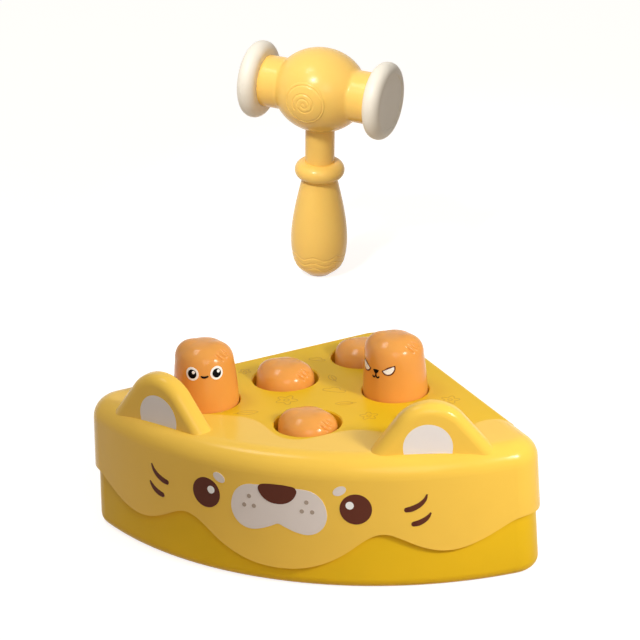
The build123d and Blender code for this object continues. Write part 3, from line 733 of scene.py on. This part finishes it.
# The hammer's own axes, foot and middle of the head
hammer_turning = (Matrix.Rotation(radians(hammer_lean_front), 3, "X")
                  @ Matrix.Rotation(radians(hammer_lean_side), 3, "Y")
                  @ Matrix.Rotation(radians(-hammer_turn), 3, "Z"))
hammer_right, hammer_back, hammer_up = (hammer_turning.col[index].copy() for index in range(3))
foot_lift = grip_foot_radius * sqrt(1 - hammer_up.z ** 2)
hammer_foot = Vector((hammer_x, hammer_y, foot_lift))
head_centre = hammer_foot + hammer_up * head_height


def about_head(radius, along, angle):
    """A placing about the head's own axis, which runs along the hammer's right."""
    return (head_centre + hammer_right * along - hammer_back * (radius * cos(angle))
            + hammer_up * (radius * sin(angle)))


def about_handle(radius, along, angle):
    """A placing about the handle's axis; angle 0 is the hammer's front and it turns to its right."""
    return (hammer_foot + hammer_right * (radius * sin(angle)) - hammer_back * (radius * cos(angle))
            + hammer_up * along)


def hammer_piece(name, rows, slot, node):
    """A closed piece of the hammer from its rows of points, in place of a CAD node."""
    verts, faces = rings_mesh(rows)
    piece = new_piece(name, verts, faces, slot, "hammer")
    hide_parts(node)


def make_head():
    """Two necks blended into an egg-shaped ball, turned about the head's axis."""
    profile = [(0, -neck_half_length)]
    for step in range(head_rows + 1):
        along = -neck_half_length + 2 * neck_half_length * step / head_rows
        ball = head_radius * sqrt(max(1 - (along / head_half_width) ** 2, 0))
        gap = abs(ball - neck_radius)
        radius = max(ball, neck_radius) + max(neck_blend - gap, 0) ** 2 / (4 * neck_blend)
        profile.append((radius, along))
    profile.append((0, neck_half_length))
    rows = lathe_rows(profile, head_steps, about_head)
    hammer_piece("hammer_head_shell", rows, "hammer_plastic", "hammer_head")


def badge_groove(across, up):
    """Depth of the grooves on the badge: a thin ring and a plain spiral inside it."""
    across, up = across - badge_shift[0], up - badge_shift[1]
    reach, turn = sqrt(across ** 2 + up ** 2), atan2(up, across) / (2 * pi)
    off_lines = [reach - badge_ring_radius]
    for whole in range(int(badge_spiral_turns) + 2):
        if 0 < turn + whole <= badge_spiral_turns:
            off_lines.append(reach - badge_spiral_pitch * (turn + whole))
    nearest = min(abs(off) for off in off_lines)
    return badge_groove_depth * exp(-(nearest / badge_groove_half_width) ** 2)


def make_badge():
    """A low round boss on the front of the ball, with a thin ring and a plain spiral cut into it."""
    rows = []
    for ring in range(badge_rings + 1):
        reach = badge_radius * ring / badge_rings
        edge = min(1.0, (badge_radius - reach) / badge_edge)
        row = []
        for step in range(badge_steps if ring else 1):
            angle = 2 * pi * step / badge_steps
            across, up = reach * cos(angle), reach * sin(angle)
            ahead = head_radius * sqrt(1 - (across / head_half_width) ** 2 - (up / head_radius) ** 2)
            stand = badge_stand * sqrt(max(0.0, 1 - (1 - edge) ** 2)) - badge_groove(across, up)
            row.append(head_centre + hammer_right * across + hammer_up * up - hammer_back * (ahead + stand))
        rows.append(row)
    rows.append([head_centre + (point - head_centre) * badge_back_share for point in rows[-1]])
    rows.append([head_centre - hammer_back * (head_radius * badge_back_share ** 2)])
    hammer_piece("hammer_badge_boss", rows, "hammer_plastic", "hammer_badge")


def make_disc(side, word):
    """A soft pad with a round rim and a slightly sunk face."""
    inner = head_half_length - disc_thickness
    rim_reach = disc_radius - disc_rim_round
    profile = [(0, inner)]
    profile += arc((rim_reach, inner + disc_rim_round), disc_rim_round, -90, 0, disc_rim_steps)
    profile += arc((rim_reach, head_half_length - disc_rim_round), disc_rim_round, 0, 90, disc_rim_steps)
    profile += arc((disc_recess_radius + disc_recess_depth, head_half_length - disc_recess_depth),
                   disc_recess_depth, 90, 180, disc_recess_steps)
    profile += [(0, head_half_length - disc_recess_depth)]
    rows = lathe_rows([(radius, side * along) for radius, along in profile], disc_steps, about_head)
    hammer_piece(f"hammer_{word}_disc_pad", rows, "disc_rubber", f"hammer_disc_{word}")


def wave_groove(angle, height):
    """Depth of the shallow wavy lines round the grip's lower end."""
    depth = 0.0
    for middle in wave_heights:
        line = middle + wave_swing * sin(wave_count * angle)
        depth += exp(-((height - line) / wave_width) ** 2)
    return min(depth, 1.0) * wave_depth


def make_handle():
    """The grip and shaft, turned about their own axis, with wavy lines near the foot."""
    shares = [(grip_radius * radius, grip_widest_height * height) for radius, height in grip_outline_shares]
    ends = (grip_foot_radius, 0), (grip_neck_radius, grip_top)
    curve = catmull_rom([ends[0], *shares, ends[1]], grip_outline_steps)
    profile = [(0, 0)] + [tuple(point) for point in curve]
    profile += [(shaft_radius, grip_top), (shaft_radius, shaft_top), (0, shaft_top)]

    def grooved(radius, along, angle):
        cut = wave_groove(angle, along) if radius > grip_foot_radius else 0.0
        return about_handle(radius - cut, along, angle)

    rows = lathe_rows(profile, grip_steps, grooved)
    hammer_piece("hammer_grip", rows, "hammer_plastic", "hammer_handle")


def make_collar():
    """The ring between shaft and grip, closed along the shaft."""
    ring = arc((ring_radius, ring_height), ring_wire, -ring_turn, ring_turn, ring_rows)
    rows = lathe_rows([*ring, ring[0]], ring_steps, about_handle)
    hammer_piece("hammer_ring", rows, "hammer_plastic", "hammer_collar")


# Doodles printed faintly on the deck: places in millimetres, size, turn in degrees
flower_places = (
    (-18.5, -60.6, 4.2, 10), (25.5, -68.5, 3.4, 40), (-50.0, -33.0, 2.4, 0), (57.0, -41.0, 3.6, 20),
)
leaf_places = (
    (-31.5, -79.0, 5.0, 25), (9.5, -57.5, 4.2, 200), (-6.0, -29.8, 3.6, 130), (60.5, -60.5, 4.0, 80),
)
cloud_places = (
    (0.0, -43.5, 4.4, 0), (-20.5, -9.8, 3.2, 0), (13.0, -20.5, 3.4, 0), (-66.0, -50.0, 3.6, 0),
)
doodle_width = 0.6 * mm
doodle_lift = 0.3 * print_lift
doodle_curve_steps = 3
petal_count = 5
petal_swing = 0.28
flower_points = 40
heart_radius = 0.3
heart_points = 12
leaf = ((-1, 0), (-0.4, 0.42), (0.35, 0.4), (1, 0), (0.35, -0.4), (-0.4, -0.42))
vein = ((-1.4, -0.05), (-0.5, 0.02), (0.5, 0))
cloud = (
    (-1.2, -0.4), (-1.25, 0.1), (-0.7, 0.25), (-0.3, 0.7), (0.35, 0.6), (0.6, 0.2), (1.15, 0.15),
    (1.2, -0.35), (0.4, -0.5), (-0.5, -0.5),
)


def turned_points(points, centre, size, turn):
    """Unit points scaled to a size in millimetres, turned and placed on the deck."""
    spin = Matrix.Rotation(radians(turn), 2)
    return [tuple((Vector(centre) + spin @ (Vector(point) * size)) * mm) for point in points]


def make_doodles():
    """Outlines of flowers, leaves and clouds."""
    flower = []
    for step in range(flower_points):
        angle = 2 * pi * step / flower_points
        reach = 1 + petal_swing * cos(petal_count * angle)
        flower.append((reach * cos(angle), reach * sin(angle)))
    heart = []
    for step in range(heart_points):
        angle = 2 * pi * step / heart_points
        heart.append((heart_radius * cos(angle), heart_radius * sin(angle)))
    sets = (
        ("flower", flower_places, ((flower, True), (heart, True))),
        ("leaf", leaf_places, ((leaf, True), (vein, False))),
        ("cloud", cloud_places, ((cloud, True),)),
    )
    for word, places, lines in sets:
        for index, (x, y, size, turn) in enumerate(places, start=1):
            for part, (points, closed) in enumerate(lines, start=1):
                path = turned_points(points, (x, y), size, turn)
                stroke(f"deck_{word}_{index}_line_{part}", path, [doodle_width] * len(path), on_deck,
                       "print_doodle", "base", steps=doodle_curve_steps, lift=doodle_lift, closed=closed)


# Studio: camera, floor, lights and world

def make_camera():
    """The camera, set where the photograph was taken from."""
    data = bpy.data.cameras.new("camera")
    data.lens = camera_lens
    data.sensor_width = camera_sensor
    data.sensor_fit = "HORIZONTAL"
    data.clip_start = camera_nearest
    data.clip_end = camera_farthest
    camera = bpy.data.objects.new("camera", data)
    turn = Matrix((camera_right, camera_up, -camera_ahead)).transposed()
    camera.matrix_world = Matrix.Translation(camera_place) @ turn.to_4x4()
    bpy.context.scene.collection.objects.link(camera)
    bpy.context.scene.camera = camera


def seen_directly(make, tree):
    """A factor that is 1 for camera, glossy and transmission rays."""
    path = make("ShaderNodeLightPath")
    either = make("ShaderNodeMath", operation="MAXIMUM")
    tree.links.new(path.outputs["Is Camera Ray"], either.inputs[0])
    tree.links.new(path.outputs["Is Glossy Ray"], either.inputs[1])
    any_of = make("ShaderNodeMath", operation="MAXIMUM")
    tree.links.new(either.outputs[0], any_of.inputs[0])
    tree.links.new(path.outputs["Is Transmission Ray"], any_of.inputs[1])
    return any_of.outputs[0]


floor_half_size = 4.0
floor_grey = (0.52, 0.45, 0.37, 1.0)
floor_glow = 0.82


def make_floor():
    """A pale floor that looks white to the camera and still takes a soft shadow."""
    size = floor_half_size
    corners = [(-size, -size, 0), (size, -size, 0), (size, size, 0), (-size, size, 0)]
    mesh = bpy.data.meshes.new("floor")
    mesh.from_pydata(corners, [], [(0, 1, 2, 3)])
    material = bpy.data.materials.new("floor_white")
    material.use_nodes = True
    tree, make = node_maker(material)
    tree.nodes.remove(tree.nodes["Principled BSDF"])
    paint = make("ShaderNodeBsdfDiffuse")
    paint.inputs["Color"].default_value = floor_grey
    glow = make("ShaderNodeEmission")
    glow.inputs["Strength"].default_value = floor_glow
    both = make("ShaderNodeAddShader")
    tree.links.new(paint.outputs[0], both.inputs[0])
    tree.links.new(glow.outputs[0], both.inputs[1])
    mix = make("ShaderNodeMixShader")
    tree.links.new(seen_directly(make, tree), mix.inputs["Fac"])
    tree.links.new(paint.outputs[0], mix.inputs[1])
    tree.links.new(both.outputs[0], mix.inputs[2])
    tree.links.new(mix.outputs[0], tree.nodes["Material Output"].inputs["Surface"])
    mesh.materials.append(material)
    floor = bpy.data.objects.new("floor", mesh)
    bpy.context.scene.collection.objects.link(floor)


base_middle = Vector((0, -40, 50)) * mm
hammer_middle = (hammer_foot + head_centre) / 2
spot_blend = 0.4
# Name, what it lights, turn from the front towards the right, rise, distance, size, level, cone of a spot
lamps = (
    ("front_lamp", base_middle, 26.0, 34.0, 1.0, 0.5, 0.2, None),
    ("top_lamp", base_middle, -84.0, 67.0, 1.0, 0.28, 0.18, None),
    ("base_spot", base_middle, 68.0, 30.0, 0.62, 0.12, 0.575, 30.0),
    ("hammer_spot", hammer_middle, -8.0, 46.0, 0.72, 0.11, 0.61, 24.0),
)
sky_low = (0.112, 0.074, 0.047, 1.0)
sky_high = (0.43, 0.43, 0.43, 1.0)
backdrop_white = (1.0, 1.0, 1.0, 1.0)


def make_lamp(name, target, turn, rise, distance, size, level, cone):
    """A round soft lamp, or a spot. Its level is how bright it makes a white face square to it."""
    data = bpy.data.lights.new(name, "SPOT" if cone else "AREA")
    if cone:
        data.energy = level * 4 * pi ** 2 * distance ** 2
        data.shadow_soft_size = size / 2
        data.spot_size = radians(cone)
        data.spot_blend = spot_blend
    else:
        data.energy = level * pi ** 2 * distance ** 2
        data.shape = "DISK"
        data.size = size
    turn, rise = radians(turn), radians(rise)
    away = Vector((sin(turn) * cos(rise), -cos(turn) * cos(rise), sin(rise)))
    lamp = bpy.data.objects.new(name, data)
    lamp.visible_camera = False
    facing = (-away).to_track_quat("-Z", "Y").to_matrix().to_4x4()
    lamp.matrix_world = Matrix.Translation(target + away * distance) @ facing
    bpy.context.scene.collection.objects.link(lamp)


def make_world():
    """Even light that grows towards the zenith, on a background that is white to the camera."""
    world = bpy.data.worlds.new("studio")
    world.use_nodes = True
    bpy.context.scene.world = world
    tree, make = node_maker(world)
    background = tree.nodes["Background"]
    direction = make("ShaderNodeTexCoord")
    parts = make("ShaderNodeSeparateXYZ")
    tree.links.new(direction.outputs["Generated"], parts.inputs[0])
    tones = make("ShaderNodeValToRGB")
    tones.color_ramp.elements[0].color = sky_low
    tones.color_ramp.elements[1].color = sky_high
    tree.links.new(parts.outputs["Z"], tones.inputs["Fac"])
    tree.links.new(tones.outputs["Color"], background.inputs["Color"])
    white = make("ShaderNodeBackground")
    white.inputs["Color"].default_value = backdrop_white
    mix = make("ShaderNodeMixShader")
    tree.links.new(seen_directly(make, tree), mix.inputs["Fac"])
    tree.links.new(background.outputs[0], mix.inputs[1])
    tree.links.new(white.outputs[0], mix.inputs[2])
    tree.links.new(mix.outputs[0], tree.nodes["World Output"].inputs["Surface"])


make_camera()
dress_cad_nodes()
make_face()
for number in mole_numbers:
    make_mole(number)
    make_spring(number)
make_round_face()
make_cross_face()
make_head()
make_badge()
make_disc(1, "right")
make_disc(-1, "left")
make_handle()
make_collar()
make_doodles()
make_floor()
for lamp in lamps:
    make_lamp(*lamp)
make_world()
bpy.context.scene.view_settings.view_transform = "Standard"
